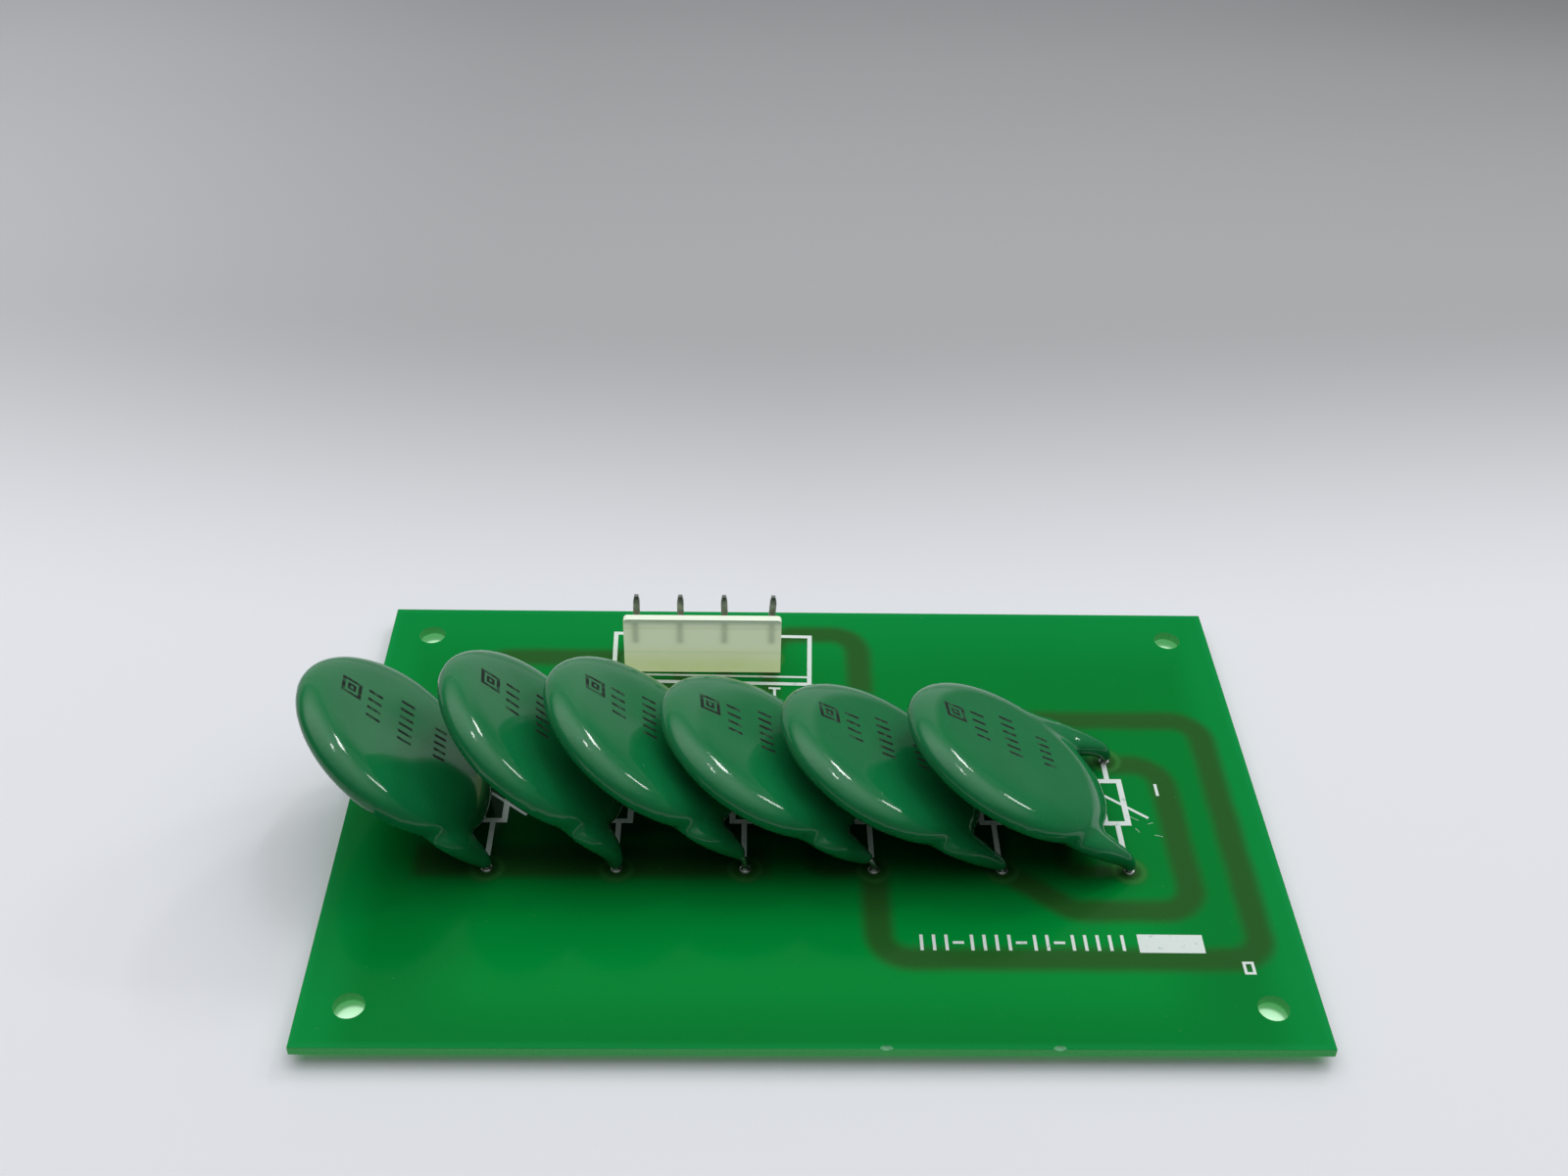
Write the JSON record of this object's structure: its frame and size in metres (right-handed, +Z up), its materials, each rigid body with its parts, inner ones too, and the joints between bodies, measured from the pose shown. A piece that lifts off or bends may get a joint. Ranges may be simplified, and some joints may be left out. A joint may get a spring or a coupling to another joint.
{
  "type": "varistor surge-protection control board",
  "caption": "Bare circuit board with a row of large disc varistors bent over to one side and a tall pin header, for surge protection between conductors.",
  "frame": {"origin": "centre of the four mounting holes on the board's underside", "axes": "+X along the board's long side, away from the way the discs lean; +Y from the front edge towards the header's edge; +Z up, from the underside through the parts"},
  "size_m": [0.1547, 0.1, 0.0313],
  "materials": {
    "laminate": "green lacquer over translucent glass-epoxy laminate",
    "copper": "copper track under green lacquer",
    "green_epoxy": "glossy dipped epoxy coating",
    "tinned_wire": "tinned copper wire",
    "solder": "bright solder",
    "nylon": "natural translucent nylon",
    "tinned_pin": "tinned square pin"
  },
  "bodies": {
    "root": {"board": "laminate", "copper_earth": "copper", "copper_line_1": "copper", "copper_line_2": "copper", "copper_line_3": "copper", "varistor_1": "green_epoxy", "varistor_2": "green_epoxy", "varistor_3": "green_epoxy", "varistor_4": "green_epoxy", "varistor_5": "green_epoxy", "varistor_6": "green_epoxy", "lead_1_front": "tinned_wire", "lead_1_rear": "tinned_wire", "lead_2_front": "tinned_wire", "lead_2_rear": "tinned_wire", "lead_3_front": "tinned_wire", "lead_3_rear": "tinned_wire", "lead_4_front": "tinned_wire", "lead_4_rear": "tinned_wire", "lead_5_front": "tinned_wire", "lead_5_rear": "tinned_wire", "lead_6_front": "tinned_wire", "lead_6_rear": "tinned_wire", "solder_1_front": "solder", "solder_1_rear": "solder", "solder_2_front": "solder", "solder_2_rear": "solder", "solder_3_front": "solder", "solder_3_rear": "solder", "solder_4_front": "solder", "solder_4_rear": "solder", "solder_5_front": "solder", "solder_5_rear": "solder", "solder_6_front": "solder", "solder_6_rear": "solder", "header_housing": "nylon", "header_pin_1": "tinned_pin", "header_pin_2": "tinned_pin", "header_pin_3": "tinned_pin", "header_pin_4": "tinned_pin", "solder_pin_1": "solder", "solder_pin_2": "solder", "solder_pin_3": "solder", "solder_pin_4": "solder"}
  },
  "joints": []
}
